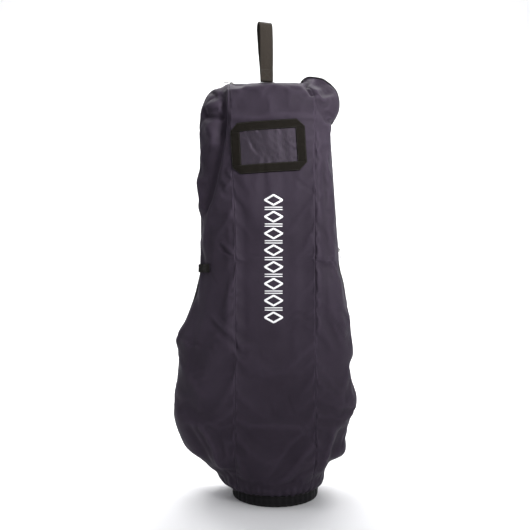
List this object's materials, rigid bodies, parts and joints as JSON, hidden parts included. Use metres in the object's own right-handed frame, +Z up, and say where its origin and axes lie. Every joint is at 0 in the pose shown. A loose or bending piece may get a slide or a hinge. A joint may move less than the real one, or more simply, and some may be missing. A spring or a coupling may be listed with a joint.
{
  "type": "golf travel cover",
  "caption": "Tall fabric travel cover for a golf bag, elastic hem below, zipped hood, card pocket, strap slits and a top carrying loop.",
  "frame": {"origin": "on the floor, under the middle of the cover's box", "axes": "+X to the right seen from the front, +Y from front to back, +Z up along the bag"},
  "size_m": [0.534, 0.32, 1.394],
  "materials": {
    "shell_fabric": "dark navy plain-weave nylon, lined, with a slight sheen",
    "hem_fabric": "black gathered casing over elastic",
    "elastic": "ribbed black elastic",
    "binding": "black grosgrain binding tape",
    "webbing": "black-brown herringbone webbing",
    "clear_window": "clear soft PVC sheet",
    "hook_and_loop": "black hook-and-loop tape",
    "zip_tape": "black knitted tape",
    "zip_coil": "black nylon coil",
    "zip_metal": "nickel-plated zinc die casting"
  },
  "bodies": {
    "cover": {"front_panel": "shell_fabric", "left_front_gusset": "shell_fabric", "right_front_gusset": "shell_fabric", "lower_back_panel": "shell_fabric", "left_back_gusset": "shell_fabric", "right_back_gusset": "shell_fabric", "hem_casing": "hem_fabric", "hem_elastic": "elastic", "left_side_seam": "binding", "right_side_seam": "binding", "left_slit_bindings": "binding", "right_slit_bindings": "binding", "left_slit_patch": "binding", "right_slit_patch": "binding", "ear_binding": "binding", "zip_tape_front": "zip_tape", "zip_coil_front": "zip_coil", "zip_end_stops": "zip_metal", "label_frame_top": "webbing", "label_frame_bottom": "webbing", "label_frame_left": "webbing", "label_frame_right": "webbing", "label_window": "clear_window", "loop_base_patch": "webbing", "strap_tab_loops": "hook_and_loop", "strap_tab_anchor": "webbing"},
    "hood_flap": {"hood_back_panel": "shell_fabric", "hood_left_gusset": "shell_fabric", "hood_right_gusset": "shell_fabric", "zip_tape_back": "zip_tape", "zip_coil_back": "zip_coil"},
    "top_slider": {"top_slider": "zip_metal"},
    "top_pull": {"top_slider_pull": "zip_metal"},
    "side_slider": {"side_slider": "zip_metal"},
    "side_pull": {"side_slider_pull": "zip_metal"},
    "carry_loop": {"carry_loop": "webbing"},
    "strap_tab": {"strap_tab": "webbing", "strap_tab_hooks": "hook_and_loop"}
  },
  "joints": [
    {"name": "hood_fold", "type": "hinge", "parent": "cover", "child": "hood_flap", "pos_m": [0, 0.1425, 0.702], "axis": [-1, 0, 0], "range_deg": [0, 135]},
    {"name": "top_slider_slide", "type": "slide", "parent": "cover", "child": "top_slider", "axis": [1, 0, 0], "range_m": [0, 0.18]},
    {"name": "top_pull_swing", "type": "hinge", "parent": "top_slider", "child": "top_pull", "pos_m": [-0.099, 0, 1.2313], "axis": [0, 1, 0], "range_deg": [0, 170]},
    {"name": "side_slider_slide", "type": "slide", "parent": "cover", "child": "side_slider", "axis": [-0.0679, 0, 0.9977], "range_m": [0, 0.33]},
    {"name": "side_pull_swing", "type": "hinge", "parent": "side_slider", "child": "side_pull", "pos_m": [0.22397, 0, 0.73036], "axis": [0, -1, 0], "range_deg": [0, 170]},
    {"name": "carry_loop_fold", "type": "hinge", "parent": "cover", "child": "carry_loop", "pos_m": [0.005, -0.048, 1.22106], "axis": [0.9848, 0.1736, 0], "range_deg": [-50, 75], "stiffness_Nm_per_rad": 0.05},
    {"name": "strap_tab_swing", "type": "hinge", "parent": "cover", "child": "strap_tab", "pos_m": [-0.18669, 0.06144, 0.6745], "axis": [0, 0, -1], "range_deg": [0, 110]}
  ]
}
